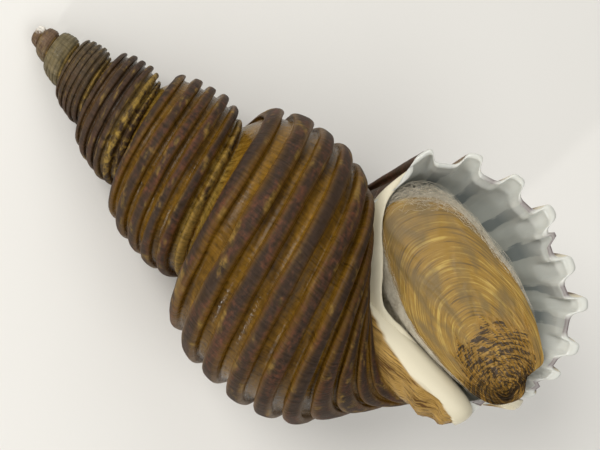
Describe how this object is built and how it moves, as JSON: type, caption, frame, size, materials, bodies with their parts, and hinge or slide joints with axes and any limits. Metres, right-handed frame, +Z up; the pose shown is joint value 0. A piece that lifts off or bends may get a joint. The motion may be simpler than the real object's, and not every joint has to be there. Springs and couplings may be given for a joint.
{
  "type": "grammatus whelk shell",
  "caption": "Tall whelk shell with strong raised spiral cords and a flared white lip, lying on its back with its horny operculum set on cotton in the aperture.",
  "frame": {"origin": "on the surface the shell lies on, under the centre of its bounding box", "axes": "+Z up; the shell's coiling axis runs along X with its tip towards -X and tipped down; the outer lip is towards +Y and the aperture faces up"},
  "size_m": [0.1042, 0.0604, 0.048],
  "materials": {
    "shell": "satin",
    "operculum": "satin",
    "cotton": "matte"
  },
  "bodies": {
    "root": {"shell": "shell", "operculum": "operculum", "cotton_wad": "cotton"}
  },
  "joints": []
}
